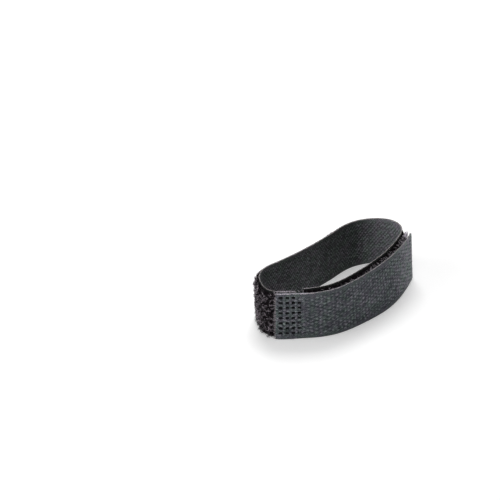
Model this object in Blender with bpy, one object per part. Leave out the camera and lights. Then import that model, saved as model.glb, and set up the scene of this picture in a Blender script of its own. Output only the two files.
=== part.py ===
"""Hook and loop cable tie, closed into a loop and standing on its edge.

Two woven tapes make one band. The loop tape carries its pile on the outside and runs
nearly all the way round. The hook tape is welded onto one end of the loop tape by a
grid of dimples, lies outside the other end along the front, and grips its pile.
The tables are in millimetres and degrees. +Z is up and +X runs along the loop.
"""

import math

import bmesh
import bpy
from mathutils import Vector, noise

MM = 0.001

# The tapes
TAPE_WIDTH = 19.0
GROUND = 0.5
SELVEDGE = 1.0
PILE_SHOULDER = 0.7
SHOULDER_HEIGHT = 0.75
PILE = 1.9
ENGAGED_PILE = 1.45
CRUSHED_PILE = 0.45
HOOK = 1.1
CRUSHED_HOOK = 0.35
CLEARANCE = 0.3
HOOK_TAPE_LENGTH = 62.1
END_GAP = 3.2
PILE_LUMP = 0.22
LUMPS_PER_MM = (0.9, 2.3)
WEAVE_RELIEF = 0.08

# The weld, which joins the start of both tapes
WELD_START = 2.5
WELD_LENGTH = 6.3
WELD_EASE = 9.0
DIMPLE_PITCH = 2.13
DIMPLE = 1.25
DIMPLE_SLOPE = 0.3
DIMPLE_DEPTH = 0.55
DIMPLE_COLUMNS = 4
DIMPLE_EDGE = 0.8
DIMPLE_RAISE = 0.4

# The outline seen from above, travelled clockwise from just right of the weld. Each bend
# has its length, its turn, and how far the band's lower edge stands outside its upper
# edge where the bend starts. The two lengths left open are worked out to close the loop.
START_HEADING = 138.1
OPEN = None
BENDS = (
    ("weld_flat", OPEN, 0.5, -0.4),
    ("left_shoulder", 6.5, -59.3, 0.8),
    ("left_bend", 13.9, -87.3, -1.4),
    ("back", OPEN, 15.6, -0.1),
    ("right_shoulder", 18.7, -63.3, -0.5),
    ("right_bend", 12.1, -97.9, 0.4),
    ("front_curve", 18.4, -17.2, 0.4),
    ("front_straight", 17.9, -10.5, 2.3),
    ("front_return", 15.9, -40.6, 0.9),
)
STRAIGHT = 1e-9
SMOOTHING = 5.0
STEP = 0.25

# Distances between the middles of the two grounds, where hooks grip and in the weld
LAP = GROUND + ENGAGED_PILE + CLEARANCE + HOOK
WELD_LAP = GROUND + CRUSHED_PILE + CLEARANCE + CRUSHED_HOOK

# Grid cells of the meshes
PILE_CELL = 1.6
HOOK_TAPER = 0.15

NYLON = (0.032, 0.036, 0.041, 1.0)
PILE_NYLON = (0.025, 0.022, 0.028, 1.0)


def ease(x):
    """0 below 0, 1 above 1, and a smooth step between."""
    x = min(max(x, 0.0), 1.0)
    return x * x * (3.0 - 2.0 * x)


def arc_chord(start, end):
    """The chord of an arc of length 1 whose heading goes from start to end."""
    turn = end - start
    if abs(turn) < STRAIGHT:
        return Vector((math.cos(start), math.sin(start)))
    return Vector((math.sin(end) - math.sin(start), math.cos(start) - math.cos(end))) / turn


class Outline:
    """The closed line that the middle of the loop tape's ground follows, seen from above."""

    def __init__(self):
        turns = [math.radians(turn) for _, _, turn, _ in BENDS]
        headings = [math.radians(START_HEADING)]
        for turn in turns:
            headings.append(headings[-1] + turn)
        self.lengths = self.closing_lengths(headings)
        self.girth = sum(self.lengths)
        count = round(self.girth / STEP)
        self.step = self.girth / count
        raw, leans = self.walk(headings, turns, count)
        window = round(SMOOTHING / self.step / 2)
        self.points = self.smoothed(raw, window)
        self.leans = self.smoothed(leans, 2 * window)

    @staticmethod
    def closing_lengths(headings):
        """The bends' lengths, with the two open ones set so that the outline closes."""
        chords = [arc_chord(a, b) for a, b in zip(headings, headings[1:])]
        lengths = [length for _, length, _, _ in BENDS]
        first, second = [i for i, length in enumerate(lengths) if length is OPEN]
        gap = Vector((0.0, 0.0))
        for chord, length in zip(chords, lengths):
            if length is not OPEN:
                gap -= chord * length
        across = chords[first].cross(chords[second])
        lengths[first] = gap.cross(chords[second]) / across
        lengths[second] = chords[first].cross(gap) / across
        return lengths

    def walk(self, headings, turns, count):
        """Evenly spaced points along the arcs, and the lean at each."""
        starts = [sum(self.lengths[:i]) for i in range(len(BENDS))]
        leans = [lean for _, _, _, lean in BENDS]
        points, lean_along = [], []
        here = Vector((0.0, 0.0))
        bend = 0
        for i in range(count):
            s = (i + 0.5) * self.step
            while bend + 1 < len(BENDS) and s > starts[bend + 1]:
                bend += 1
            share = (s - starts[bend]) / self.lengths[bend]
            heading = headings[bend] + turns[bend] * share
            here = here + Vector((math.cos(heading), math.sin(heading))) * self.step
            points.append(here.copy())
            following = leans[(bend + 1) % len(BENDS)]
            lean_along.append(leans[bend] + (following - leans[bend]) * share)
        return points, lean_along

    @staticmethod
    def smoothed(values, window):
        """Each value's mean over its neighbours, round the closed line."""
        count = len(values)
        result = []
        for i in range(count):
            total = values[i] * 1.0
            for k in range(1, window + 1):
                total = total + values[(i + k) % count] + values[(i - k) % count]
            result.append(total / (2 * window + 1))
        return result

    def sample(self, values, s):
        """values at the distance s along the line, which may run past its start or end."""
        place = (s / self.step) % len(values)
        i = int(place)
        share = place - i
        return values[i % len(values)] * (1.0 - share) + values[(i + 1) % len(values)] * share

    def place(self, s, outward, height):
        """The point at distance s, set outward from the line, at that height in the band."""
        here = self.sample(self.points, s)
        along = self.sample(self.points, s + STEP) - self.sample(self.points, s - STEP)
        normal = Vector((-along.y, along.x)).normalized()
        lean = self.sample(self.leans, s) * (1.0 - height / TAPE_WIDTH)
        spot = here + normal * (outward + lean)
        return Vector((spot.x, spot.y, height)) * MM


OUTLINE = Outline()
WELD_END = WELD_START + WELD_LENGTH
HOOK_TAPE_START = OUTLINE.girth + WELD_END - HOOK_TAPE_LENGTH
LOOP_TAPE_END = OUTLINE.girth + WELD_START - END_GAP


def loop_line(s):
    """How far outside the outline the loop tape's ground runs, which is in the weld only."""
    return (LAP - WELD_LAP) * (1.0 - ease((s - WELD_END) / WELD_EASE))


def pile_height(s):
    """Melted flat in the weld, free round the loop, and pressed under the hook tape."""
    free = CRUSHED_PILE + (PILE - CRUSHED_PILE) * ease((s - WELD_END) / PILE_CELL)
    pressed = ease((s - HOOK_TAPE_START + PILE_CELL) / PILE_CELL)
    return free + (ENGAGED_PILE - free) * pressed


def pile_lump(s, height):
    """The lumps of the napped pile, as a change of its height."""
    lumps = [noise.noise(Vector((s, height, 1.0)) * scale) for scale in LUMPS_PER_MM]
    return PILE_LUMP * sum(lumps)


def slab(stations, rows, inner, outer):
    """A closed band: one grid of points inside, one outside, and strips round the edges."""
    mesh = bmesh.new()
    sheets = []
    for side in (inner, outer):
        sheets.append([[mesh.verts.new(side(s, z)) for z in rows] for s in stations])
    inside, outside = sheets
    last, top = len(stations) - 1, len(rows) - 1
    cells = {"inner": {}, "outer": {}}
    for i in range(last):
        for j in range(top):
            a = (inside[i][j], inside[i][j + 1], inside[i + 1][j + 1], inside[i + 1][j])
            b = (outside[i][j], outside[i + 1][j], outside[i + 1][j + 1], outside[i][j + 1])
            cells["inner"][i, j] = mesh.faces.new(a)
            cells["outer"][i, j] = mesh.faces.new(b)
    for i in range(last):
        mesh.faces.new((inside[i][0], inside[i + 1][0], outside[i + 1][0], outside[i][0]))
        mesh.faces.new((inside[i][top], outside[i][top], outside[i + 1][top], inside[i + 1][top]))
    for j in range(top):
        mesh.faces.new((inside[0][j], outside[0][j], outside[0][j + 1], inside[0][j + 1]))
        mesh.faces.new(
            (inside[last][j], inside[last][j + 1], outside[last][j + 1], outside[last][j])
        )
    bmesh.ops.recalc_face_normals(mesh, faces=mesh.faces[:])
    return mesh, cells


def even(start, end, cell):
    """Values from start to end, evenly spaced by about cell."""
    count = max(1, round((end - start) / cell))
    return [start + (end - start) * i / count for i in range(count + 1)]


def weave(i, j):
    """The ground's relief: yarns that pass over and under by turns."""
    return WEAVE_RELIEF * (1 if (i + j) % 2 else -1)


def loop_tape():
    """The long tape: a flat ground inside and the pile outside, bare along its edges."""
    stations = even(WELD_START, WELD_END, PILE_CELL)
    stations += even(WELD_END, HOOK_TAPE_START, PILE_CELL)[1:]
    stations += even(HOOK_TAPE_START, LOOP_TAPE_END, PILE_CELL)[1:]
    low, high = SELVEDGE + PILE_SHOULDER, TAPE_WIDTH - SELVEDGE - PILE_SHOULDER
    pile_rows = even(low, high, PILE_CELL)
    edge_rows = (0.0, SELVEDGE, TAPE_WIDTH - SELVEDGE, TAPE_WIDTH)
    rows = [*edge_rows[:2], *pile_rows, *edge_rows[2:]]
    column = {s: i for i, s in enumerate(stations)}
    row = {z: j for j, z in enumerate(rows)}

    def inner(s, z):
        relief = 0.0 if z in edge_rows else weave(column[s], row[z])
        return OUTLINE.place(s, loop_line(s) - GROUND / 2 + relief, z)

    def outer(s, z):
        pile = 0.0
        if z not in edge_rows:
            pile = pile_height(s)
            lump = pile_lump(s, z) * pile / PILE
            pile += lump if pile > ENGAGED_PILE else -abs(lump)
        if z in (pile_rows[0], pile_rows[-1]):
            pile *= SHOULDER_HEIGHT
        return OUTLINE.place(s, loop_line(s) + GROUND / 2 + pile, z)

    mesh, _ = slab(stations, rows, inner, outer)
    return mesh


def hook_tape():
    """The short tape: woven outside with the weld's dimples, and hooks inside."""
    margin = (TAPE_WIDTH - hook_rows() * DIMPLE_PITCH + (DIMPLE_PITCH - DIMPLE)) / 2
    rows = [0.0]
    for k in range(hook_rows()):
        low = margin + DIMPLE_RAISE + k * DIMPLE_PITCH
        rows += [low, low + DIMPLE]
    rows.append(TAPE_WIDTH)
    weld_side = OUTLINE.girth + WELD_END
    dimple_lines = []
    for k in range(DIMPLE_COLUMNS):
        high = weld_side - DIMPLE_EDGE - k * DIMPLE_PITCH
        dimple_lines += [high, high - DIMPLE]
    weld_zone = dimple_lines[-1] - (DIMPLE_PITCH - DIMPLE)
    count = 2 * round((weld_zone - HOOK_TAPE_START) / DIMPLE_PITCH)
    stations = even(HOOK_TAPE_START, weld_zone, (weld_zone - HOOK_TAPE_START) / count)
    stations += dimple_lines[::-1] + [weld_side]
    first_dimple = count + 1
    column = {s: i for i, s in enumerate(stations)}
    row = {z: j for j, z in enumerate(rows)}

    def inner(s, z):
        flat = CRUSHED_HOOK * ease((s - weld_zone + DIMPLE_PITCH) / DIMPLE_PITCH)
        return OUTLINE.place(s, LAP - GROUND / 2 - flat, z)

    def outer(s, z):
        plain = z in (0.0, TAPE_WIDTH) or s > weld_zone
        relief = 0.0 if plain else weave(column[s], row[z])
        return OUTLINE.place(s, LAP + GROUND / 2 + relief, z)

    mesh, cells = slab(stations, rows, inner, outer)
    odd_rows = range(1, len(rows) - 1, 2)
    dimples = [
        cells["outer"][first_dimple + 2 * i, j]
        for i in range(DIMPLE_COLUMNS)
        for j in odd_rows
    ]
    hooks = [cells["inner"][i, j] for i in range(1, count - 2, 2) for j in odd_rows]
    bmesh.ops.inset_individual(
        mesh, faces=dimples, thickness=DIMPLE_SLOPE * MM, depth=-DIMPLE_DEPTH * MM
    )
    bmesh.ops.inset_individual(
        mesh, faces=hooks, thickness=HOOK_TAPER * MM, depth=HOOK * MM
    )
    return mesh


def hook_rows():
    """Rows of dimples, and of hooks, that fit between the tape's selvedges."""
    return int((TAPE_WIDTH - 2 * SELVEDGE - DIMPLE) / DIMPLE_PITCH) + 1


def nylon(name, colour, roughness):
    material = bpy.data.materials.new(name)
    material.use_nodes = True
    shader = material.node_tree.nodes["Principled BSDF"]
    shader.inputs["Base Color"].default_value = colour
    shader.inputs["Roughness"].default_value = roughness
    shader.inputs["Metallic"].default_value = 0.0
    return material


def add_tape(name, mesh, material):
    data = bpy.data.meshes.new(name)
    mesh.to_mesh(data)
    mesh.free()
    data.materials.append(material)
    tape = bpy.data.objects.new(name, data)
    bpy.context.scene.collection.objects.link(tape)
    return tape


def centre_on_base(tapes):
    """Hangs the tapes on an empty, so that the middle of their footprint is the origin."""
    corners = [v.co for tape in tapes for v in tape.data.vertices]
    middle_x = (min(c.x for c in corners) + max(c.x for c in corners)) / 2
    middle_y = (min(c.y for c in corners) + max(c.y for c in corners)) / 2
    base = bpy.data.objects.new("tie", None)
    bpy.context.scene.collection.objects.link(base)
    base.location = (-middle_x, -middle_y, 0.0)
    for tape in tapes:
        tape.parent = base


def main():
    for old in list(bpy.data.objects):
        bpy.data.objects.remove(old)
    tapes = [
        add_tape("loop_tape", loop_tape(), nylon("loop_pile", PILE_NYLON, 0.85)),
        add_tape("hook_tape", hook_tape(), nylon("hook_weave", NYLON, 0.6)),
    ]
    centre_on_base(tapes)


main()
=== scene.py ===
import math

import bpy
import numpy as np
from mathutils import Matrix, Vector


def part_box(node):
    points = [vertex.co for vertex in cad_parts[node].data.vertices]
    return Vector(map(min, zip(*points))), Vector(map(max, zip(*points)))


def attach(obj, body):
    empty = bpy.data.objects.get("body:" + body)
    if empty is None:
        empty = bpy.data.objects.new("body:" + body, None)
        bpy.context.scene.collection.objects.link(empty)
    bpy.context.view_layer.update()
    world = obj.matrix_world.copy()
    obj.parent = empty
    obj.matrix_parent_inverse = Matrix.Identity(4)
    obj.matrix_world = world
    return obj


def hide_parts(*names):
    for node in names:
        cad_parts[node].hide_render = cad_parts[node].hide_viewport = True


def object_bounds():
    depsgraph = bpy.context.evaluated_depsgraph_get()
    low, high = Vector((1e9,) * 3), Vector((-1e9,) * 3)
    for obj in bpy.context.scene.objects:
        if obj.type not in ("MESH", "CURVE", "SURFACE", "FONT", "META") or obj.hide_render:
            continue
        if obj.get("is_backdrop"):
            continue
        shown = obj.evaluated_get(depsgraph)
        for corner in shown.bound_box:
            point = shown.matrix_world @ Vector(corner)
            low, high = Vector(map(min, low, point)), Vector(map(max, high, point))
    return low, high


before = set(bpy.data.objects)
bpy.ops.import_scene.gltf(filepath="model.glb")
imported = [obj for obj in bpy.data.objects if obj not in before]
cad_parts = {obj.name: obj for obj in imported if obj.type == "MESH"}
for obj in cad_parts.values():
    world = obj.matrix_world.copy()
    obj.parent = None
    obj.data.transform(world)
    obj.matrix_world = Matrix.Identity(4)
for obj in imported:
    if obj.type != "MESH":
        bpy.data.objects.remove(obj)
CAD_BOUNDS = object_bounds()

# The looks of a hook and loop cable tie: its two woven tapes, the pile, the hooks, the weld,
# the frayed edges, the floor, the lights and the camera.
# Shapes are worked out in tape coordinates, in millimetres: s runs along the outline, z up
# across the tape's width, and out is how far outside the outline a point lies.

MM = 0.001
RANDOM = np.random.default_rng(19)

# A table that gives each small patch of a tape a number of its own, repeated along the tape
SCATTER = RANDOM.uniform(-1.0, 1.0, (97, 61))

# The tapes and the weld, with the sizes that the model has
TAPE_WIDTH = 19.0
GROUND = 0.5
SELVEDGE = 1.0
PILE_SHOULDER = 0.7
PILE = 1.9
ENGAGED_PILE = 1.45
CRUSHED_PILE = 0.45
HOOK = 1.1
CRUSHED_HOOK = 0.35
CLEARANCE = 0.3
HOOK_TAPE_LENGTH = 62.1
END_GAP = 3.2
WELD_START = 2.5
WELD_LENGTH = 6.3
WELD_EASE = 9.0
PILE_CELL = 1.6
DIMPLE_PITCH = 2.13
DIMPLE = 1.25
DIMPLE_COLUMNS = 4
DIMPLE_EDGE = 0.8
DIMPLE_RAISE = 0.4

# The pits' own width, height and depth, which the model has as one size and shallower
DIMPLE_WIDTH = 1.35
DIMPLE_HEIGHT = 1.15
DIMPLE_DEPTH = 0.7

# The outline from above, clockwise: each bend's length, turn, and lean at its start
START_HEADING = 138.1
OPEN = None
BENDS = (
    ("weld_flat", OPEN, 0.5, -0.4),
    ("left_shoulder", 6.5, -59.3, 0.8),
    ("left_bend", 13.9, -87.3, -1.4),
    ("back", OPEN, 15.6, -0.1),
    ("right_shoulder", 18.7, -63.3, -0.5),
    ("right_bend", 12.1, -97.9, 0.4),
    ("front_curve", 18.4, -17.2, 0.4),
    ("front_straight", 17.9, -10.5, 2.3),
    ("front_return", 15.9, -40.6, 0.9),
)
SMOOTHING = 5.0
STEP = 0.25
LAP = GROUND + ENGAGED_PILE + CLEARANCE + HOOK
WELD_LAP = GROUND + CRUSHED_PILE + CLEARANCE + CRUSHED_HOOK

# The weave: a yarn's width across the tape, the picks' spacing along it, and their relief
LOOP_YARNS = 46
LOOP_YARN = TAPE_WIDTH / LOOP_YARNS
LOOP_PICK = 0.32
LOOP_RELIEF = 0.16
HOOK_YARNS = 51.7
HOOK_YARN = TAPE_WIDTH / HOOK_YARNS
HOOK_PICK = 0.3375
HOOK_RELIEF = 0.18
SELVEDGE_BAND = 1.2
CELLS_PER_YARN = 3
EDGE_ROUNDING = 0.15

# The fibres: loops a square millimetre, the radii of fibres, and the size of a clump
PILE_DENSITY = 7.4
PILE_FIBRE = 0.047
TUFT = 0.5
HOOK_WIRE = 0.085
EDGE_YARN = 0.17
FUZZ_PER_MM = 3.5

# Stretches of the loop tape with painted light or painted shade: where each one starts along the
# outline and over how far it fades in, then where it ends and over how far it fades out
# Painted light on the woven side: lighter, with stronger crowns
PAINTED_LIGHT_WEAVE = (70.0, 10.0, 100.0, 6.0)
# Painted shade on the woven side: darker
PAINTED_SHADE_WEAVE = (48.0, 8.0, 76.0, 8.0)
# Painted shade: less of the painted light on the loop tape's upper edge along this stretch
PAINTED_RIM_SHADE = (45.0, 10.0, 100.0, 8.0)

# The camera, as the photograph has it
AZIMUTH = math.radians(-44.0)
ELEVATION = math.radians(33.5)
DISTANCE = 8.0
VIEW_WIDTH = 0.17722
AIM = (-0.01821, 0.02593, 0.01857)
SENSOR = 36.0

# The soft lamps, all aimed at the tie: name, place, side and power
LAMPS = (
    ("overhead", (0.207, 0.214, 0.818), 0.63, 2.0),
    ("behind", (0.345, 0.357, 0.712), 0.45, 4.2),
    ("front", (-0.347, -0.359, 0.713), 0.5, 1.8),
    ("left", (-0.737, 0.328, 0.326), 0.8, 4.9),
)
FLOOR_SIDE = 3.0
FLOOR_GLOW = 0.27
ROOM_LIGHT = 0.05


def ease(x):
    """0 below 0, 1 above 1, and a smooth step between."""
    x = np.clip(x, 0.0, 1.0)
    return x * x * (3.0 - 2.0 * x)


def stretch(s, start, fade_in, end, fade_out):
    """0 before start and after end, and 1 between them past the two fades."""
    return ease((s - start) / fade_in) * ease((end - s) / fade_out)


# The outline that both tapes follow


def smoothed(values, window):
    """Each value's mean over its neighbours, round the closed line."""
    return np.mean([np.roll(values, k, axis=0) for k in range(-window, window + 1)], axis=0)


class Outline:
    """The closed line that the middle of the loop tape's ground follows, seen from above."""

    def __init__(self):
        turns = np.radians([turn for _, _, turn, _ in BENDS])
        headings = math.radians(START_HEADING) + np.concatenate(([0.0], np.cumsum(turns)))
        ends = np.concatenate(([0.0], np.cumsum(self.closing_lengths(headings, turns))))
        self.girth = ends[-1]
        count = round(self.girth / STEP)
        self.step = self.girth / count
        s = (np.arange(count) + 0.5) * self.step
        heading = np.interp(s, ends, headings)
        walk = np.cumsum(np.stack([np.cos(heading), np.sin(heading)], axis=1), axis=0)
        leans = [lean for _, _, _, lean in BENDS]
        window = round(SMOOTHING / self.step / 2)
        self.points = smoothed(walk * self.step, window)
        self.leans = smoothed(np.interp(s, ends, leans + leans[:1]), 2 * window)
        self.shift = np.zeros(2)

    @staticmethod
    def closing_lengths(headings, turns):
        """The bends' lengths, with the two open ones set so that the outline closes."""
        start, end = headings[:-1], headings[1:]
        chords = np.stack([np.sin(end) - np.sin(start), np.cos(start) - np.cos(end)], axis=1)
        chords /= turns[:, None]
        lengths = np.array([0.0 if length is OPEN else length for _, length, _, _ in BENDS])
        first, second = [i for i, bend in enumerate(BENDS) if bend[1] is OPEN]
        gap = -(chords * lengths[:, None]).sum(axis=0)
        pair = np.stack([chords[first], chords[second]], axis=1)
        lengths[[first, second]] = np.linalg.solve(pair, gap)
        return lengths

    def sample(self, values, s):
        """values at the distance s along the line, which may run past its start or end."""
        place = (np.asarray(s) / self.step) % len(values)
        i = place.astype(int)
        share = (place - i).reshape(place.shape + (1,) * (values.ndim - 1))
        before, after = values[i % len(values)], values[(i + 1) % len(values)]
        return before * (1.0 - share) + after * share

    def place(self, s, out, z):
        """Points in the row's frame, in millimetres, for arrays of tape coordinates."""
        s, out, z = np.broadcast_arrays(s, out, z)
        along = self.sample(self.points, s + STEP) - self.sample(self.points, s - STEP)
        along /= np.linalg.norm(along, axis=-1, keepdims=True)
        normal = np.stack([-along[..., 1], along[..., 0]], axis=-1)
        lean = self.sample(self.leans, s) * (1.0 - z / TAPE_WIDTH)
        spot = self.sample(self.points, s) + normal * (out + lean)[..., None] + self.shift
        return np.concatenate([spot, z[..., None]], axis=-1)


OUTLINE = Outline()
WELD_END = WELD_START + WELD_LENGTH
HOOK_TAPE_START = OUTLINE.girth + WELD_END - HOOK_TAPE_LENGTH
HOOK_TAPE_END = OUTLINE.girth + WELD_END
LOOP_TAPE_END = OUTLINE.girth + WELD_START - END_GAP
WELD_ZONE = HOOK_TAPE_END - DIMPLE_EDGE - DIMPLE_COLUMNS * DIMPLE_PITCH

# Where the pile's pieces meet, where the hooks begin to catch its loops, and where it is worn,
# as for the stretches above
PILE_BACK_LENGTH = 28.0
PILE_SEAMS = (
    (WELD_END + HOOK_TAPE_START - PILE_BACK_LENGTH) / 2,
    (WELD_END + HOOK_TAPE_START + PILE_BACK_LENGTH) / 2,
    HOOK_TAPE_START + 3.0,
)
CAUGHT_START = HOOK_TAPE_START + 1.0
WORN_PILE = (64.0, 8.0, HOOK_TAPE_START - 0.5, 1.5)


def set_outline_on_frame():
    """Shifts the outline so that the hook tape's welded end meets the model's."""
    low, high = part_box("hook_tape")
    inner, outer = LAP - GROUND / 2 - CRUSHED_HOOK, LAP + GROUND / 2
    corners = OUTLINE.place(HOOK_TAPE_END, [[inner], [outer]], [[0.0, TAPE_WIDTH]])
    xs, ys = corners[..., 0], corners[..., 1]
    OUTLINE.shift = np.array([low.x / MM - xs.min(), high.y / MM - ys.max()])


def hook_line(s):
    """How far outside the outline the hook tape's ground runs."""
    return np.full_like(s, LAP)


def loop_line(s):
    """How far outside the outline the loop tape's ground runs, which is in the weld only."""
    return (LAP - WELD_LAP) * (1.0 - ease((s - WELD_END) / WELD_EASE))


def pile_height(s):
    """Melted flat in the weld, free round the loop, and pressed under the hook tape."""
    free = CRUSHED_PILE + (PILE - CRUSHED_PILE) * ease((s - WELD_END) / PILE_CELL)
    pressed = ease((s - HOOK_TAPE_START + PILE_CELL) / PILE_CELL)
    return free + (ENGAGED_PILE - free) * pressed


def pile_profile(z):
    """The pile's height across the tape, which is bare and then rounded along its edges."""
    from_edge = np.minimum(z, TAPE_WIDTH - z) - SELVEDGE
    x = np.clip(from_edge / (2 * PILE_SHOULDER), 0.0, 1.0)
    return np.sqrt(1.0 - (1.0 - x) ** 2)


def worn_down(s, z):
    """The share of the pile's height that is left: least by the hook tape's upper cut corner."""
    worn = stretch(s, *WORN_PILE) * ease((z - TAPE_WIDTH + 6.5) / 3.5)
    return 1.0 - 0.85 * worn


# Meshes


def add_mesh(name, points, faces, material, slot, **values):
    """A smooth piece that rides on the root. values are numbers that its material reads."""
    data = bpy.data.meshes.new(name)
    data.from_pydata(points * MM, [], faces)
    data.shade_smooth()
    for key, numbers in values.items():
        layer = data.attributes.new(key, "FLOAT", "POINT")
        layer.data.foreach_set("value", np.asarray(numbers, np.float32).ravel())
    data.materials.append(material)
    piece = bpy.data.objects.new(name, data)
    bpy.context.scene.collection.objects.link(piece)
    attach(piece, "root")
    return piece


def lines(start, end, cell):
    """Evenly spaced values from start to end, about cell apart."""
    return np.linspace(start, end, max(2, round((end - start) / cell) + 1))


def tape_faces(columns, rows, woven_side_out):
    """Faces of a closed tape: a grid on its woven side and one long face a column behind it.

    The grid's points come first, column by column, then the plain side's lower and upper
    point of each column.
    """
    grid = np.arange(columns * rows).reshape(columns, rows)
    back = columns * rows + np.arange(columns * 2).reshape(columns, 2)
    here, there = slice(None, -1), slice(1, None)
    woven = [grid[here, here], grid[here, there], grid[there, there], grid[there, here]]
    plain = [back[here, 0], back[there, 0], back[there, 1], back[here, 1]]
    lower = [grid[here, 0], grid[there, 0], back[there, 0], back[here, 0]]
    upper = [grid[here, -1], back[here, 1], back[there, 1], grid[there, -1]]
    faces = []
    for corners in (woven, plain, lower, upper):
        faces += np.stack([c.ravel() for c in corners], axis=1).tolist()
    faces.append([back[0, 0], back[0, 1], *grid[0, ::-1]])
    faces.append([back[-1, 0], *grid[-1], back[-1, 1]])
    return faces if woven_side_out else [face[::-1] for face in faces]


def tape(woven_s, s, z, woven, plain, woven_side_out):
    """Points and faces of a closed tape. woven is an array over s and z, plain one over s."""
    front = OUTLINE.place(woven_s, woven, z[None, :]).reshape(-1, 3)
    edges = np.array([[z[0], z[-1]]])
    behind = OUTLINE.place(s[:, None], plain[:, None], edges).reshape(-1, 3)
    return np.concatenate([front, behind]), tape_faces(len(s), len(z), woven_side_out)


def block(s, z, low, high):
    """Points and faces of a closed block between two grids over s and z."""
    columns, rows = len(s), len(z)
    inner = OUTLINE.place(s[:, None], low, z[None, :]).reshape(-1, 3)
    outer = OUTLINE.place(s[:, None], high, z[None, :]).reshape(-1, 3)
    a = np.arange(columns * rows).reshape(columns, rows)
    b = a + columns * rows
    here, there = slice(None, -1), slice(1, None)
    sides = [
        [a[here, here], a[there, here], a[there, there], a[here, there]],
        [b[here, here], b[here, there], b[there, there], b[there, here]],
        [b[here, 0], b[there, 0], a[there, 0], a[here, 0]],
        [b[here, -1], a[here, -1], a[there, -1], b[there, -1]],
        [a[0, here], a[0, there], b[0, there], b[0, here]],
        [a[-1, here], b[-1, here], b[-1, there], a[-1, there]],
    ]
    faces = []
    for corners in sides:
        faces += np.stack([c.ravel() for c in corners], axis=1).tolist()
    return np.concatenate([inner, outer]), faces


def tubes(paths, radii, sides):
    """Points and faces of closed tubes along paths, an array of tube, point and xyz."""
    count, length, _ = paths.shape
    along = np.gradient(paths, axis=1)
    along /= np.linalg.norm(along, axis=-1, keepdims=True) + 1e-9
    helper = np.where(np.abs(along[:, :1, 2:]) > 0.8, [[[1.0, 0.0, 0.0]]], [[[0.0, 0.0, 1.0]]])
    across = np.cross(along, helper)
    across /= np.linalg.norm(across, axis=-1, keepdims=True) + 1e-9
    upward = np.cross(across, along)
    angle = 2 * math.pi * np.arange(sides) / sides
    cosine, sine = np.cos(angle)[:, None], np.sin(angle)[:, None]
    radii = np.broadcast_to(radii, (count, length))[..., None, None]
    ring = across[:, :, None] * cosine + upward[:, :, None] * sine
    points = (paths[:, :, None] + ring * radii).reshape(-1, 3)
    index = np.arange(count * length * sides).reshape(count, length, sides)
    turned = np.roll(index, -1, axis=2)
    walls = np.stack([index[:, :-1], turned[:, :-1], turned[:, 1:], index[:, 1:]], axis=-1)
    faces = walls.reshape(-1, 4).tolist()
    faces += index[:, 0, ::-1].tolist()
    faces += index[:, -1].tolist()
    return points, faces


def join(parts):
    """One set of points and faces from several."""
    points, faces, count = [], [], 0
    for some_points, some_faces in parts:
        points.append(some_points)
        faces += [[corner + count for corner in face] for face in some_faces]
        count += len(some_points)
    return np.concatenate(points), faces


def place_fibres(s, out, z):
    """Paths in the row's frame for fibres in tape coordinates, kept above the floor."""
    return OUTLINE.place(s, out, np.maximum(z, PILE_FIBRE))


# The woven grounds


def wander(s, z):
    """How far a weave strays from its lattice, in millimetres, along the tape and across it."""
    along = 0.13 * np.sin(0.71 * s + 0.9 * z) + 0.1 * np.sin(1.9 * s - 1.3 * z + 0.8)
    across = 0.1 * np.sin(0.83 * s - 0.5 * z + 2.0) + 0.07 * np.sin(1.6 * s + 1.7 * z)
    return along, across


def yarn_roundness(yarn):
    """The height of round yarns laid side by side, 0 to 1."""
    return np.sqrt(np.clip(1.0 - (2.0 * (yarn - np.floor(yarn)) - 1.0) ** 2, 0.0, 1.0))


def uneven(s, z, along, across):
    """A number from -1 to 1 for each patch of a tape, along by across millimetres in size."""
    column = np.floor(np.asarray(s) / along).astype(int) % SCATTER.shape[0]
    row = np.floor(np.asarray(z) / across).astype(int) % SCATTER.shape[1]
    return SCATTER[column, row]


def inside_selvedges(z):
    """1 in the patterned weave and 0 in the plain band along each edge."""
    return ease((np.minimum(z, TAPE_WIDTH - z) - SELVEDGE_BAND) / 0.35)


def twill(s, z):
    """The relief of a twill, 0 to 1: each yarn passes over two picks and under two."""
    along, across = wander(s, z)
    pick = (s + 0.5 * along) / LOOP_PICK
    yarn = z / LOOP_YARN
    count = np.floor(yarn + 0.3 * across)
    falling = np.cos(math.pi / 2 * (pick + count))
    rising = np.cos(math.pi / 2 * (pick - count))
    over = (0.4 * falling + 0.7 * rising) * (0.8 + 0.3 * np.cos(math.pi / 4 * pick))
    roundness = yarn_roundness(yarn)
    odd = uneven(s + LOOP_PICK * count, z, 4 * LOOP_PICK, LOOP_YARN)
    broken = 0.12 * np.cos(math.pi * (pick + 0.5)) * np.cos(math.pi * yarn)
    warp = 0.32 + 0.4 * over + 0.22 * roundness + 0.17 * odd + broken
    weft = 0.16 - 0.1 * over + 0.1 * np.abs(np.cos(math.pi * pick)) - 0.14 * odd
    plain = 0.45 + 0.12 * np.cos(math.pi * (pick + count)) + 0.1 * roundness
    inside = inside_selvedges(z)
    return np.clip(inside * np.maximum(warp, weft) + (1.0 - inside) * plain, 0.0, 1.0)


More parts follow.
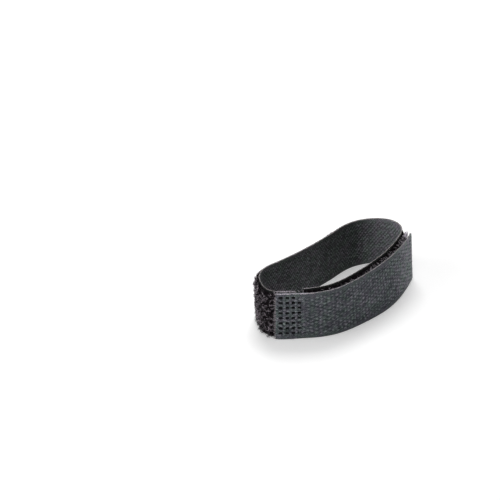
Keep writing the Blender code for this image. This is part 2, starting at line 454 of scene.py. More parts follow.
def knots(s, z):
    """The knots behind the hooks, which lie in staggered columns and slant near the cut end."""
    along, across = wander(s, z)
    column = (s + along) / (8 * HOOK_PICK)
    row = (z + across) / (4 * HOOK_YARN)
    slant = 0.25 * ease((HOOK_TAPE_START + 24.0 - s) / 14.0)
    rising = np.cos(2 * math.pi * (column - row))
    falling = np.cos(2 * math.pi * (column + row))
    ribs = np.cos(4 * math.pi * column)
    lattice = (0.45 + slant) * rising + (0.45 - slant) * falling + 0.42 * ribs
    odd = uneven(s + 4 * HOOK_PICK * np.round(2 * row), z, 4 * HOOK_PICK, 2 * HOOK_YARN)
    yarn = np.floor(z / HOOK_YARN)
    dashes = uneven(s + 2.7 * HOOK_YARN * yarn, z, 2.5 * HOOK_PICK, HOOK_YARN)
    height = np.exp(0.5 * lattice) - 1.1
    return 1.1 * height * (1.0 + 0.7 * odd) + 0.4 * odd + 0.5 * dashes


def hook_back(s, z):
    """The relief behind the hooks, 0 to 1: knots with pits between them, over fine yarns."""
    yarn = z / HOOK_YARN
    picks = np.cos(math.pi * (s / HOOK_PICK + np.floor(yarn)))
    fine = 0.12 * picks + 0.22 * yarn_roundness(yarn)
    return np.clip(0.35 + 0.26 * inside_selvedges(z) * knots(s, z) + fine, 0.0, 1.0)


def from_dimple(s, z):
    """How far each point is from the middle of the weld's nearest pit, and that pit's strength.

    The distance is scaled so that a pit's walls lie at DIMPLE / 2 from its middle. The column
    before the first one lies past the hook tape's end, in the pile.
    """
    rows = int((TAPE_WIDTH - 2 * SELVEDGE - DIMPLE) / DIMPLE_PITCH) + 1
    margin = (TAPE_WIDTH - rows * DIMPLE_PITCH + DIMPLE_PITCH - DIMPLE) / 2
    first_z = margin + DIMPLE_RAISE + DIMPLE / 2
    first_s = HOOK_TAPE_END - DIMPLE_EDGE - DIMPLE / 2
    row = np.clip(np.round((z - first_z) / DIMPLE_PITCH), 0, rows - 1)
    column = np.clip(np.round((first_s - s) / DIMPLE_PITCH), -1, DIMPLE_COLUMNS - 1)
    far_s = DIMPLE / DIMPLE_WIDTH * np.abs(s - (first_s - column * DIMPLE_PITCH))
    far_z = DIMPLE / DIMPLE_HEIGHT * np.abs(z - (first_z + row * DIMPLE_PITCH))
    varied = 0.88 + 0.12 * np.sin(5.1 * row + 2.3 * column)
    middle_rows = np.abs(row - (rows - 1) / 2) < 3.0
    faint = np.where(column == DIMPLE_COLUMNS - 1, np.where(middle_rows, 0.72, 0.5), 1.0)
    return (far_s**6 + far_z**6) ** (1 / 6), varied * faint


def dimples(s, z):
    """How deep the weld's square pits are at each point, as a share of their depth."""
    far, strength = from_dimple(s, z)
    return ease((DIMPLE / 2 - far) / 0.2) * strength


def dimple_rims(s, z):
    """1 on the lip of melted nylon round each pit and 0 elsewhere."""
    far, strength = from_dimple(s, z)
    return np.exp(-(((far - DIMPLE / 2 - 0.12) / 0.13) ** 2)) * strength


def pit_shade(s, z):
    """1 in the weld's pits, which are painted black as their shadow, set a little above each pit's
    middle where its upper lip shades it, and 0 round them. Faint pits have less of it.
    """
    far, strength = from_dimple(s, z - 0.1)
    return ease((DIMPLE / 2 + 0.03 - far) / 0.12) * ease((strength - 0.25) / 0.45)


def in_weld(s):
    """1 in the weld and 0 clear of it, along the hook tape."""
    return ease((s - WELD_ZONE + 0.3) / 1.1)


def ripple(s, z):
    """Slow unevenness of a tape's surface."""
    return 0.5 * np.sin(0.9 * s + 0.4 * z) + 0.3 * np.sin(0.37 * s - 0.6 * z + 1.0)


def jagged(s, z, start):
    """s with the cut at start a little uneven across the tape."""
    notches = 0.1 * np.sin(3.1 * z) + 0.07 * np.sin(7.7 * z + 1.0) + 0.05 * np.sin(13.0 * z)
    return s + notches * np.exp(-(s - start) / 0.8)


def hook_crown(s, z, melt, rims):
    """How high and light the hook tape's back is, 0 to 1: lighter towards its cut, a painted
    sheen, most at its cut, and mottled in the weld, with its pits' lips lighter, a painted
    highlight.
    """
    crown = hook_back(s, z)
    # Painted sheen: lighter and more contrasted towards the cut end
    cut_end_sheen = ease((HOOK_TAPE_START + 16.0 - s) / 12.0)
    crown = crown + cut_end_sheen * (0.2 + 0.5 * (crown - 0.42))
    crown = crown + 0.22 * ease((HOOK_TAPE_START + 1.5 - s) / 0.8)
    # The lips round the pits are lighter, a painted highlight
    lips = 0.14 * rims * (1.0 + uneven(s, z, 0.6, 0.5))
    mottled = 0.1 * melt * uneven(s, z, 0.42, 0.3) + lips
    return np.clip(crown + mottled, 0.0, 1.0)


def make_hook_ground(material):
    """The hook tape's ground: its woven back with the weld's pits, and a plain inner side."""
    s = lines(HOOK_TAPE_START, HOOK_TAPE_END, 0.16)
    z = lines(0.0, TAPE_WIDTH, HOOK_YARN / CELLS_PER_YARN)
    ss, zz = jagged(s[:, None], z[None, :], s[0]), z[None, :]
    melt = in_weld(ss)
    pits = dimples(ss, zz)
    rims = dimple_rims(ss, zz) * melt
    crown = hook_crown(ss, zz, melt, rims)
    edge = ease(np.minimum(zz, TAPE_WIDTH - zz) / 0.3) * ease((s[-1] - ss) / 0.3)
    relief = HOOK_RELIEF * (crown - 0.5) * (1.0 - 0.5 * melt) + 0.03 * ripple(ss, zz)
    relief = relief - EDGE_ROUNDING * (1.0 - edge) - DIMPLE_DEPTH * pits + 0.07 * rims
    woven = LAP + GROUND / 2 + relief
    melted_hooks = CRUSHED_HOOK * ease((s - WELD_ZONE + DIMPLE_PITCH) / DIMPLE_PITCH)
    plain = LAP - GROUND / 2 - melted_hooks
    points, faces = tape(ss, s, z, woven, plain, woven_side_out=True)
    none = np.zeros(2 * len(s))
    piece = add_mesh(
        "hook_ground", points, faces, material, "hook_weave",
        crown=np.concatenate([crown.ravel(), none + 0.3]),
        pit=np.concatenate([pit_shade(ss, zz).ravel(), none]),
    )
    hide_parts("hook_tape")


def make_loop_ground(material):
    """The loop tape's ground: its woven side, which faces in, and a plain side under the pile."""
    s = lines(WELD_START, LOOP_TAPE_END, 2 * LOOP_PICK / 3)
    z = lines(0.0, TAPE_WIDTH, LOOP_YARN / CELLS_PER_YARN)
    ss, zz = s[:, None], z[None, :]
    # Painted light on one stretch of the woven side and painted shade on another, added to its
    # crowns
    painted_light = 0.12 * stretch(ss, *PAINTED_LIGHT_WEAVE)
    painted_shade = 0.08 * stretch(ss, *PAINTED_SHADE_WEAVE)
    crown = twill(ss, zz) * (1.0 + 2.0 * painted_light) + 0.6 * painted_light - painted_shade
    crown = np.clip(crown, 0.0, 1.0)
    edge = ease(np.minimum(zz, TAPE_WIDTH - zz) / 0.3)
    relief = LOOP_RELIEF * (crown - 0.5) + 0.03 * ripple(ss, zz) - EDGE_ROUNDING * (1.0 - edge)
    woven = loop_line(ss) - GROUND / 2 - relief
    plain = loop_line(s) + GROUND / 2
    points, faces = tape(ss, s, z, woven, plain, woven_side_out=False)
    piece = add_mesh(
        "loop_ground", points, faces, material, "hook_weave",
        crown=np.concatenate([crown.ravel(), np.full(2 * len(s), 0.1)]),
        pit=np.zeros(len(points)),
    )
    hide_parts("loop_tape")


def hook_rim_light(s):
    """How light the hook tape's upper edge is, a painted edge light: lighter towards the weld, and
    most over it, painted glints.
    """
    return 0.16 + 0.2 * ease((s - 122.0) / 14.0) + 0.8 * ease((s - WELD_ZONE + 1.0) / 2.5)


def loop_rim_light(s):
    """How light the loop tape's upper edge is, a painted edge light: lightest over the weld,
    painted glints, and at its bare end, with less of it over one stretch, a painted shade.
    """
    # Over the weld the edge is much lighter, painted glints
    over_weld = 0.7 * ease((WELD_END + 1.0 - s) / 2.0)
    bare_end = 0.15 * ease((s - LOOP_TAPE_END + 7.0) / 4.0)
    return 0.27 - 0.12 * stretch(s, *PAINTED_RIM_SHADE) + over_weld + bare_end


def make_edge_yarns(name, start, end, line, rim_light, material, slot):
    """A bumpy yarn along each edge of a tape, where its weft turns back."""
    sides = 6
    s = lines(start, end, 0.16)
    turn = 0.5 + 0.5 * np.cos(math.pi * s / LOOP_PICK)
    radius = EDGE_YARN * (0.75 + 0.25 * turn) * (1.0 + 0.1 * RANDOM.standard_normal(len(s)))
    sway = 0.05 * np.sin(2.3 * s) + 0.04 * np.sin(0.7 * s + 1.0)
    heights = np.array([[EDGE_YARN + 0.02], [TAPE_WIDTH - 0.1]])
    paths = OUTLINE.place(s[None, :], line(s)[None, :] + sway, heights)
    points, faces = tubes(paths, radius, sides)
    patchy = 1.0 + 0.5 * uneven(s, 0.0, 0.9, 1.0) + 0.2 * RANDOM.standard_normal(len(s))
    # The lower yarn is dark, a painted shade by the floor, and the upper one lighter, painted
    # light and glints along the top
    tone = np.stack([0.03 * patchy, np.clip(rim_light(s) * patchy, 0.03, 1.0)])
    add_mesh(name, points, faces, material, slot, tone=np.repeat(tone, sides))


# The pile and the hooks


def lumps(s, z):
    """The pile's uneven height, about -1 to 1, from waves along the tape and across it."""
    waves = (
        (0.9, 1.3, 0.0, 0.35),
        (-1.7, 1.1, 1.9, 0.3),
        (2.9, 2.3, 0.7, 0.2),
        (0.6, -3.1, 2.6, 0.15),
    )
    return sum(size * np.sin(a * s + b * z + start) for a, b, start, size in waves)


def pressed_spot(s, z):
    """1 where the weld's outermost pits press into the pile beside the hook tape."""
    near = ease((WELD_END + 1.5 - s) / 0.15)
    return near * ease(dimples(s + OUTLINE.girth, z) * 3.0)


def make_pile_mat(material):
    """The pile's dense body, which shows between the loops and hangs over the lower edge."""
    s = lines(WELD_START, LOOP_TAPE_END, 0.45)
    z = lines(0.25, TAPE_WIDTH - SELVEDGE + 0.3, 0.4)
    ss, zz = s[:, None], z[None, :]
    hanging = pile_profile(zz + SELVEDGE - 0.2)
    profile = np.where(zz < TAPE_WIDTH / 2, hanging, pile_profile(zz))
    height = 0.1 + 0.7 * pile_height(ss) * profile * worn_down(ss, zz)
    grain = 0.1 * RANDOM.standard_normal(height.shape) * height
    base = loop_line(ss) + GROUND / 2
    high = base + height * (1.0 + 0.1 * lumps(ss, zz)) + grain
    low = base - 0.1 + 0.0 * height
    points, faces = block(s, z, low, high)
    add_mesh("pile_mat", points, faces, material, "loop_pile")


def pile_loops(s, z, height):
    """Paths of loops rooted at s and z: each arches over, leans as its clump does, and curls."""
    count, length = len(s), 6
    t = np.linspace(0.0, 1.0, length)[None, :]
    clump = uneven(s, z, TUFT, TUFT)[:, None]
    clump_heading = math.pi * uneven(s + 31.0, z, TUFT, TUFT)[:, None]
    heading = clump_heading + RANDOM.normal(0.0, 0.8, (count, 1))
    span = RANDOM.uniform(0.35, 1.25, (count, 1))
    tall = height[:, None] * RANDOM.uniform(0.75, 1.05, (count, 1)) * (1.0 + 0.16 * clump)
    curl = RANDOM.uniform(-0.5, 0.5, (count, 1)) * np.sin(2 * math.pi * t + heading)
    reach = span * (t - 0.5)
    drift = RANDOM.uniform(-0.3, 0.3, (count, 2))
    drift[:, 0] += 0.3 * np.sin(2.9 * s + 2.0 * z)
    drift[:, 1] += 0.3 * np.cos(3.1 * z - 1.7 * s) - 0.85 * ease((3.2 - z) / 1.7)
    arch = 1.0 - np.abs(2.0 * t - 1.0) ** 3
    loop_s = s[:, None] + np.cos(heading) * reach - np.sin(heading) * curl + drift[:, :1] * arch
    loop_z = z[:, None] + np.sin(heading) * reach + np.cos(heading) * curl + drift[:, 1:] * arch
    base = 0.25 * tall
    return loop_s, base + (tall - base) * arch, loop_z


def loop_height(s, z):
    """How tall the loops at s and z stand, full at the lower edge and low at the upper one."""
    least = np.where(z < TAPE_WIDTH / 2, 1.05, 0.3)
    across = least + (1.0 - least) * pile_profile(z)
    return pile_height(s) * across * (1.0 + 0.1 * lumps(s, z)) * worn_down(s, z)


def pulled_up(s, z):
    """1 for the clumps that stand up in the gap above the hooks, and 0 for other loops."""
    clumps = ease((uneven(s, z, 0.8, 0.5) + 0.15) / 0.3)
    return clumps * ease(s - CAUGHT_START) * ease(z - TAPE_WIDTH + 4.0)


def loop_tone(s, z, pulled):
    """How light each loop is, 0 to 1: darker near the lower edge, a painted shade by the floor,
    dark under the hooks, a painted shade between the tapes, with the clumps that stand up there
    painted light, and light by their tape's cut end.
    """
    tuft = 0.5 + 0.5 * uneven(s, z, TUFT, TUFT)
    tone = np.clip(RANDOM.uniform(size=len(s)) ** 1.3 + 0.35 * tuft - 0.15, 0.0, 1.0)
    # Darker near the lower edge, a painted shade by the floor
    tone = np.minimum(tone, 0.88) * (1.0 - 0.35 * ease((4.0 - z) / 2.5))
    # Under the hooks the loops are dark, a painted shade between the tapes, and the clumps that
    # stand up are painted light
    caught = 0.1 * tone + pulled * RANDOM.uniform(0.1, 1.0, len(s)) ** 0.7
    tone = np.where(s > CAUGHT_START, np.minimum(caught, 1.0), tone)
    by_cut = ease((2.5 - np.abs(s - HOOK_TAPE_START)) / 1.5) * ease((z - TAPE_WIDTH + 3.2) / 0.6)
    return np.maximum(tone, by_cut * RANDOM.uniform(0.7, 1.0, len(s)))


def make_pile(name, start, end, material):
    """The loops between two places along the tape, with few where the hook tape hides them."""
    inset, sides = SELVEDGE + 0.1, 3
    count = int((end - start) * (TAPE_WIDTH - 2 * inset) * PILE_DENSITY)
    s = RANDOM.uniform(start, end, count)
    z = RANDOM.uniform(inset, TAPE_WIDTH - inset, count)
    hidden = (s > PILE_SEAMS[-1]) & (np.minimum(z, TAPE_WIDTH - z) > 4.0)
    keep = ~(hidden & (RANDOM.uniform(size=count) < 0.85))
    s, z = s[keep], z[keep]
    pulled = pulled_up(s, z)
    height = loop_height(s, z) * (1.0 + RANDOM.uniform(0.2, 0.75, len(s)) * pulled)
    loop_s, up, loop_z = pile_loops(s, z, height)
    upper = (0.3 + 0.7 * pile_profile(loop_z)) / (0.3 + 0.7 * pile_profile(z[:, None]))
    up = np.where(loop_z > TAPE_WIDTH - 3.0, up * np.minimum(upper, 1.0), up)
    loop_z = np.clip(loop_z, 0.1, TAPE_WIDTH - 0.7)
    keep = (pressed_spot(loop_s, loop_z) > 0.5).sum(axis=1) < 3
    s, z, height, pulled = [values[keep] for values in (s, z, height, pulled)]
    loop_s, up, loop_z = loop_s[keep], up[keep], loop_z[keep]
    paths = place_fibres(loop_s, loop_line(loop_s) + GROUND / 2 + up, loop_z)
    tone = loop_tone(s, z, pulled)
    points, faces = tubes(paths, PILE_FIBRE * (0.8 + 0.5 * tone[:, None]), sides)
    add_mesh(
        name, points, faces, material, "loop_pile",
        tone=np.repeat(tone, up.shape[1] * sides),
        tip=np.repeat((up / height[:, None]).ravel(), sides),
    )


def make_hooks(material):
    """Rows of small hooks on the hook tape's inner side, every other row turned about."""
    sides = 5
    columns = np.arange(HOOK_TAPE_START + 0.6, WELD_ZONE - 1.0, 4 * HOOK_PICK)
    rows = np.arange(SELVEDGE + 0.3, TAPE_WIDTH - SELVEDGE, 4 * HOOK_YARN)
    column, row = [g.ravel() for g in np.meshgrid(np.arange(len(columns)), np.arange(len(rows)))]
    s = columns[column] + RANDOM.normal(0.0, 0.06, len(column))
    z = rows[row] + 2 * HOOK_YARN * (column % 2) + RANDOM.normal(0.0, 0.05, len(column))
    facing = np.where((row + column) % 2 == 0, 1.0, -1.0)
    inside = z < TAPE_WIDTH - SELVEDGE
    s, z, facing = s[inside], z[inside], facing[inside]
    bend = np.array([
        [0.0, -0.1], [0.0, 0.45], [0.05, 0.85], [0.22, 1.12],
        [0.45, 1.2], [0.66, 1.1], [0.74, 0.86], [0.7, 0.66],
    ])
    tall = RANDOM.uniform(0.9, 1.05, (len(s), 1))
    hook_s = s[:, None] + facing[:, None] * bend[None, :, 0]
    hook_out = LAP - GROUND / 2 - bend[None, :, 1] * tall
    hook_z = z[:, None] + RANDOM.uniform(-0.15, 0.15, (len(s), 1)) * bend[None, :, 1]
    points, faces = tubes(place_fibres(hook_s, hook_out, hook_z), HOOK_WIRE, sides)
    tone = np.repeat(RANDOM.uniform(size=len(s)), len(bend) * sides)
    add_mesh("hooks", points, faces, material, "hook_weave", tone=tone)


# The frayed filaments: each function below wisps gives groups of tubes, each with its tone


def wisps(s, out, z, towards, length, radius):
    """Short loose filaments that start at the given places and curl as they go towards."""
    s, out, z = np.broadcast_arrays(s, out, z)
    count = len(s)
    t = np.linspace(0.0, 1.0, 5)[None, :]
    reach = RANDOM.uniform(0.35, 1.0, (count, 1)) * length * t
    bow = RANDOM.normal(0.0, 0.35, (count, 3, 1)) * (length * t**2)[:, None, :]
    paths = place_fibres(
        s[:, None] + towards[0] * reach + bow[:, 0],
        out[:, None] + towards[1] * reach + 0.6 * bow[:, 1],
        z[:, None] + towards[2] * reach + bow[:, 2],
    )
    return tubes(paths, radius * (1.0 - 0.5 * t), 3)


def fuzz_along_edges():
    for start, end, line in (
        (HOOK_TAPE_START, HOOK_TAPE_END, hook_line),
        (WELD_END, LOOP_TAPE_END, loop_line),
    ):
        # The upper fuzz is lighter, painted light, and the lower darker, a painted shade by the
        # floor
        for z, up, tone in ((TAPE_WIDTH - 0.2, 0.8, 0.3), (0.15, 0.0, 0.1)):
            s = RANDOM.uniform(start, end, int(FUZZ_PER_MM * (end - start)))
            out = line(s) + RANDOM.uniform(-0.2, 0.3, len(s))
            yield wisps(s, out, z, (0.3, 0.35, up), 0.35, 0.028), tone


def fringe_along_weld():
    for z, towards in ((TAPE_WIDTH - 0.2, (0.3, 0.1, 0.9)), (0.25, (0.3, 0.5, -0.2))):
        s = RANDOM.uniform(WELD_START - 0.3, WELD_END + 0.6, 170)
        out = loop_line(s) + RANDOM.uniform(-0.3, WELD_LAP + 0.3, len(s))
        yield wisps(s, out, z, towards, 0.6, 0.05), 0.55


def fringe_at_cuts():
    for s, middle, along, count, tone in (
        (HOOK_TAPE_START + 0.1, LAP, -1.0, 260, 0.7),
        (HOOK_TAPE_END, LAP - 0.1, 1.0, 190, 0.5),
        (LOOP_TAPE_END, 0.0, 1.0, 190, 0.45),
        (WELD_START, LAP - WELD_LAP, -1.0, 260, 0.45),
    ):
        z = RANDOM.uniform(0.2, TAPE_WIDTH - 0.2, count)
        out = middle + RANDOM.uniform(-GROUND / 2, GROUND / 2, count)
        yield wisps(s, out, z, (along, 0.1, 0.0), 0.65, 0.05), tone


def loose_pile_at_cut():
    s = HOOK_TAPE_START + RANDOM.uniform(-1.3, 1.6, 170)
    z = RANDOM.uniform(TAPE_WIDTH - 1.9, TAPE_WIDTH - 0.6, len(s))
    out = RANDOM.uniform(GROUND / 2 + 0.7, GROUND / 2 + 1.9, len(s))
    yield wisps(s, out, z, (0.1, 0.2, 0.6), 0.9, 0.065), 1.0


# Light specks on the lands between the pits
def light_specks_between_pits():
    s = RANDOM.uniform(WELD_ZONE, HOOK_TAPE_END - 0.3, 60)
    z = RANDOM.uniform(0.8, TAPE_WIDTH - 0.8, len(s))
    on_land = from_dimple(s, z)[0] > DIMPLE / 2
    s, z = s[on_land], z[on_land]
    yield wisps(s, LAP + GROUND / 2 + 0.05, z, (0.6, 0.1, 0.3), 0.4, 0.06), 0.8


# White beads over the weld, painted glints
def glint_beads_over_weld():
    for out, count in ((LAP + 0.1, 11), (LAP - WELD_LAP + 0.1, 7)):
        s = RANDOM.uniform(WELD_ZONE + 0.6, HOOK_TAPE_END - 0.4, count)
        radius = RANDOM.uniform(0.1, 0.24, (count, 1))
        yield wisps(s, out, TAPE_WIDTH - 0.1, (1.0, 0.0, 0.1), 0.7, radius), 1.0


def hairs_over_weld():
    s = RANDOM.uniform(WELD_START, WELD_END - 1.0, 4)
    out, z = LAP - WELD_LAP, TAPE_WIDTH - 0.2
    yield wisps(s, out, z, (0.4, -0.5, 0.5), 2.6, 0.035), 0.35


# Dark filaments under the weld, a painted shade by the floor
def dark_fringe_under_weld():
    s = RANDOM.uniform(WELD_START + 0.3, WELD_END + 0.3, 160)
    out = loop_line(s) + RANDOM.uniform(0.2, WELD_LAP + 0.25, len(s))
    yield wisps(s, out, 0.35, (0.3, 0.5, -0.4), 0.5, 0.05), 0.0


def make_fray(material):
    """Filaments that stand out of the tapes' edges, their cut ends and the weld."""
    parts, tones = [], []
    for groups in (
        fuzz_along_edges, fringe_along_weld, fringe_at_cuts, loose_pile_at_cut,
        light_specks_between_pits, glint_beads_over_weld, hairs_over_weld, dark_fringe_under_weld,
    ):
        for part, tone in groups():
            parts.append(part)
            tones.append(np.full(len(part[0]), tone))
    points, faces = join(parts)
    add_mesh("frayed_filaments", points, faces, material, "hook_weave", tone=np.concatenate(tones))


# Materials


def shader_material(name, roughness, sheen=0.0):
    """A nylon material, its node tree and its shader."""
    material = bpy.data.materials.new(name)
    material.use_nodes = True
    tree = material.node_tree
    shader = tree.nodes["Principled BSDF"]
    shader.inputs["Roughness"].default_value = roughness
    shader.inputs["Sheen Weight"].default_value = sheen
    shader.inputs["IOR"].default_value = 1.53
    return material, tree, shader


def attribute(tree, name):
    """The socket of a number that the mesh holds at each point."""
    node = tree.nodes.new("ShaderNodeAttribute")
    node.attribute_name = name
    return node.outputs["Fac"]


def mixed(tree, factor, first, second):
    """The socket of a colour mix. first and second are colours or sockets."""
    node = tree.nodes.new("ShaderNodeMix")
    node.data_type = "RGBA"
    tree.links.new(factor, node.inputs["Factor"])
    for socket, value in zip((node.inputs[6], node.inputs[7]), (first, second)):
        if isinstance(value, tuple):
            socket.default_value = (*value, 1.0)
        else:
            tree.links.new(value, socket)
    return node.outputs[2]


def multiplied(tree, first, second):
    """The socket of two colours multiplied."""
    node = tree.nodes.new("ShaderNodeMix")
    node.data_type = "RGBA"
    node.blend_type = "MULTIPLY"
    node.inputs["Factor"].default_value = 1.0
    tree.links.new(first, node.inputs[6])
    tree.links.new(second, node.inputs[7])
    return node.outputs[2]


def noise(tree, scale, detail=2.0, stretched=(1.0, 1.0, 1.0)):
    """A noise over the object's own coordinates, its scale in waves a metre."""
    coordinates = tree.nodes.new("ShaderNodeTexCoord")
    mapping = tree.nodes.new("ShaderNodeMapping")
    mapping.inputs["Scale"].default_value = stretched
    texture = tree.nodes.new("ShaderNodeTexNoise")
    texture.inputs["Scale"].default_value = scale
    texture.inputs["Detail"].default_value = detail
    tree.links.new(coordinates.outputs["Object"], mapping.inputs["Vector"])
    tree.links.new(mapping.outputs["Vector"], texture.inputs["Vector"])
    return texture.outputs["Fac"]


def ramp(tree, factor, *stops):
    """A colour ramp's socket, from stops of position and colour."""
    node = tree.nodes.new("ShaderNodeValToRGB")
    elements = node.color_ramp.elements
    while len(elements) < len(stops):
        elements.new(0.5)
    for element, (position, colour) in zip(elements, stops):
        element.position = position
        element.color = (*colour, 1.0)
    tree.links.new(factor, node.inputs["Fac"])
    return node.outputs["Color"]


def bump(tree, shader, height, distance, strength):
    """Bumps on a shader's surface, distance high in metres."""
    node = tree.nodes.new("ShaderNodeBump")
    node.inputs["Distance"].default_value = distance
    node.inputs["Strength"].default_value = strength
    tree.links.new(height, node.inputs["Height"])
    tree.links.new(node.outputs["Normal"], shader.inputs["Normal"])


def grey(level):
    return (level, level, level)


def woven_nylon(name, deep, body, crest, glance):
    """Nylon yarns: dark between them and lighter on their crowns, painted shade and painted sheen
    over the weave, and black in the weld's pits, a painted shadow.

    They are glance times as light where they are seen along the cloth, a painted sheen.
    """
    material, tree, shader = shader_material(name, 0.6)
    # The weave's pattern, painted darker in its hollows as shade and lighter on its crowns as
    # sheen
    yarns = ramp(tree, attribute(tree, "crown"), (0.12, deep), (0.42, body), (0.9, crest))
    greenish, bluish, reddish = (0.9, 1.03, 0.96), (0.97, 1.0, 1.05), (1.07, 0.98, 1.11)
    patches = ramp(tree, noise(tree, 420.0, 3.0), (0.38, greenish), (0.5, bluish), (0.62, reddish))
    fibres = ramp(tree, noise(tree, 2200.0, 3.0), (0.3, grey(0.55)), (0.7, grey(1.45)))
    glancing = tree.nodes.new("ShaderNodeLayerWeight")
    # Painted sheen: lighter where the cloth is seen along its surface
    painted_sheen = ramp(tree, glancing.outputs["Facing"], (0.22, grey(1.0)), (0.7, grey(glance)))
    coloured = multiplied(tree, multiplied(tree, yarns, patches), multiplied(tree, fibres, painted_sheen))
    # The pits are mixed to black, a painted shadow
    pitted = mixed(tree, attribute(tree, "pit"), coloured, grey(0.0))
    tree.links.new(pitted, shader.inputs["Base Color"])
    shader.inputs["Specular IOR Level"].default_value = 0.07
    bump(tree, shader, noise(tree, 9000.0, stretched=(1.0, 1.0, 2.5)), 0.00006, 0.6)
    return material


def pile_nylon(name, dark, body, glint, brightest):
    """Pile fibres, each with a tone of its own whose lightest stops are painted glints, and dark
    at their roots, a painted shade.
    """
    material, tree, shader = shader_material(name, 0.5)
    shader.inputs["Specular IOR Level"].default_value = 0.3
    # The lightest stops, glint and brightest, are painted glints
    tones = ramp(
        tree, attribute(tree, "tone"),
        (0.0, dark), (0.3, dark), (0.6, body), (0.87, glint), (1.0, brightest),
    )
    # Dark at the roots, a painted shade deep in the pile
    shaded_roots = mixed(tree, attribute(tree, "tip"), dark, tones)
    tree.links.new(shaded_roots, shader.inputs["Base Color"])
    bump(tree, shader, noise(tree, 14000.0), 0.00003, 0.4)
    return material


def mat_nylon(name, dark, light):
    """The pile's dense body, matt and rough, its near-black colour a painted shade deep among the
    loops.
    """
    material, tree, shader = shader_material(name, 0.9)
    shader.inputs["Specular IOR Level"].default_value = 0.0
    colour = ramp(tree, noise(tree, 2600.0, 4.0), (0.35, dark), (0.7, light))
    tree.links.new(colour, shader.inputs["Base Color"])
    bump(tree, shader, noise(tree, 3500.0, 4.0), 0.0003, 1.0)
    return material


def edge_nylon(name, dark, light):
    """Fuzzy yarns and filaments, with a lightness at each place, which along the edges and over
    the weld is partly painted light and shade.
    """
    material, tree, shader = shader_material(name, 0.55, sheen=0.3)
    level = ramp(tree, attribute(tree, "tone"), (0.0, dark), (1.0, light))
    fuzz = ramp(tree, noise(tree, 2000.0, 3.0), (0.35, grey(0.5)), (0.65, grey(1.5)))
    tree.links.new(multiplied(tree, level, fuzz), shader.inputs["Base Color"])
    bump(tree, shader, noise(tree, 9000.0), 0.00006, 0.8)
    return material


def wire_nylon(name, dark, light):
    """Smooth monofilament with a tone for each hook."""
    material, tree, shader = shader_material(name, 0.3)
    colour = ramp(tree, attribute(tree, "tone"), (0.0, dark), (1.0, light))
    tree.links.new(colour, shader.inputs["Base Color"])
    return material


# The floor, the light and the camera


def seen_as_background(tree):
    """1 for rays that show the background: straight, in a gloss or through something clear."""
    rays = tree.nodes.new("ShaderNodeLightPath")
    seen = rays.outputs["Is Camera Ray"]
    for kind in ("Is Glossy Ray", "Is Transmission Ray"):
        either = tree.nodes.new("ShaderNodeMath")
        either.operation = "MAXIMUM"
        tree.links.new(seen, either.inputs[0])
        tree.links.new(rays.outputs[kind], either.inputs[1])
        seen = either.outputs["Value"]
    return seen


def make_floor():
    """A plain pale floor that shows white where no shadow falls on it."""
    half = FLOOR_SIDE / 2
    data = bpy.data.meshes.new("floor")
    corners = [(-half, -half, 0.0), (half, -half, 0.0), (half, half, 0.0), (-half, half, 0.0)]
    data.from_pydata(corners, [], [(0, 1, 2, 3)])
    floor = bpy.data.objects.new("floor", data)
    bpy.context.scene.collection.objects.link(floor)
    material = bpy.data.materials.new("floor_white")
    material.use_nodes = True
    tree = material.node_tree
    shader = tree.nodes["Principled BSDF"]
    shader.inputs["Base Color"].default_value = (*grey(0.8), 1.0)
    shader.inputs["Roughness"].default_value = 1.0
    shader.inputs["Specular IOR Level"].default_value = 0.0
    shader.inputs["Emission Color"].default_value = (*grey(1.0), 1.0)
    glow = tree.nodes.new("ShaderNodeMath")
    glow.operation = "MULTIPLY"
    glow.inputs[1].default_value = FLOOR_GLOW
    tree.links.new(seen_as_background(tree), glow.inputs[0])
    tree.links.new(glow.outputs["Value"], shader.inputs["Emission Strength"])
    data.materials.append(material)
    floor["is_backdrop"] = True


def make_world():
    """A room that shows white and lights the tie only a little."""
    world = bpy.data.worlds.new("studio")
    bpy.context.scene.world = world
    world.use_nodes = True
    tree = world.node_tree
    background = tree.nodes["Background"]
    background.inputs["Color"].default_value = (*grey(1.0), 1.0)
    strength = tree.nodes.new("ShaderNodeMath")
    strength.operation = "MAXIMUM"
    strength.inputs[1].default_value = ROOM_LIGHT
    tree.links.new(seen_as_background(tree), strength.inputs[0])
    tree.links.new(strength.outputs["Value"], background.inputs["Strength"])


def make_lamps():
    for name, place, side, power in LAMPS:
        light = bpy.data.lights.new(name, "AREA")
        light.size = side
        light.energy = power
        lamp = bpy.data.objects.new(name, light)
        bpy.context.scene.collection.objects.link(lamp)
        lamp.location = place
        lamp.rotation_euler = (-lamp.location).to_track_quat("-Z", "Y").to_euler()


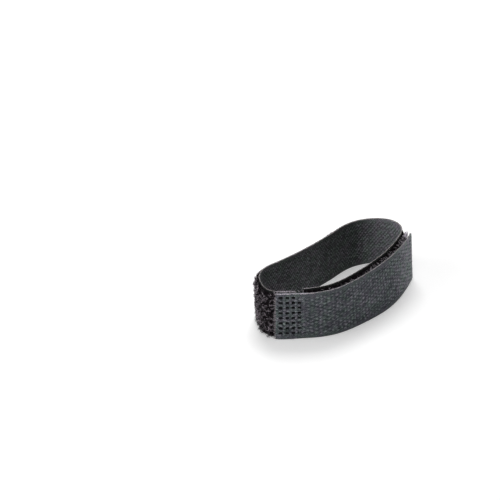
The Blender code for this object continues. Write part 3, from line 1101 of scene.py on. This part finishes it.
def make_camera():
    data = bpy.data.cameras.new("camera")
    data.sensor_width = SENSOR
    data.lens = SENSOR * DISTANCE / VIEW_WIDTH
    camera = bpy.data.objects.new("camera", data)
    bpy.context.scene.collection.objects.link(camera)
    level = DISTANCE * math.cos(ELEVATION)
    camera.location = (
        AIM[0] + level * math.sin(AZIMUTH),
        AIM[1] - level * math.cos(AZIMUTH),
        AIM[2] + DISTANCE * math.sin(ELEVATION),
    )
    camera.rotation_euler = (math.pi / 2 - ELEVATION, 0.0, AZIMUTH)
    bpy.context.scene.camera = camera


def make_tie():
    weave_out = woven_nylon(
        "hook_weave_nylon",
        deep=(0.003, 0.0035, 0.004), body=(0.063, 0.07, 0.075), crest=(0.26, 0.266, 0.272),
        glance=1.35,
    )
    weave_in = woven_nylon(
        "loop_weave_nylon",
        deep=(0.005, 0.0062, 0.0055), body=(0.052, 0.056, 0.053), crest=(0.25, 0.25, 0.257),
        glance=1.0,
    )
    pile = pile_nylon(
        "pile_nylon",
        dark=(0.008, 0.007, 0.008), body=(0.115, 0.1, 0.113),
        glint=(0.54, 0.47, 0.53), brightest=(0.8, 0.72, 0.79),
    )
    mat = mat_nylon("pile_mat_nylon", dark=(0.002, 0.0015, 0.002), light=(0.014, 0.011, 0.013))
    edge = edge_nylon("edge_nylon", dark=(0.09, 0.068, 0.048), light=(0.66, 0.6, 0.68))
    wire = wire_nylon("hook_wire_nylon", dark=(0.02, 0.02, 0.022), light=(0.05, 0.05, 0.055))
    make_hook_ground(weave_out)
    make_loop_ground(weave_in)
    for name, start, end, line, rim_light, slot in (
        ("hook_edge_yarns", HOOK_TAPE_START, HOOK_TAPE_END, hook_line, hook_rim_light, "hook_weave"),
        ("loop_edge_yarns", WELD_START, LOOP_TAPE_END, loop_line, loop_rim_light, "loop_pile"),
    ):
        make_edge_yarns(name, start, end, line, rim_light, edge, slot)
    make_pile_mat(mat)
    names = ("pile_left", "pile_back", "pile_right", "pile_under_hooks")
    for name, start, end in zip(names, (WELD_START, *PILE_SEAMS), (*PILE_SEAMS, LOOP_TAPE_END)):
        make_pile(name, start, end, pile)
    make_hooks(wire)
    make_fray(edge)


set_outline_on_frame()
make_tie()
make_floor()
make_world()
make_lamps()
make_camera()
bpy.context.scene.view_settings.view_transform = "Standard"
[[list(corner) for corner in box] for box in (CAD_BOUNDS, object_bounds())]
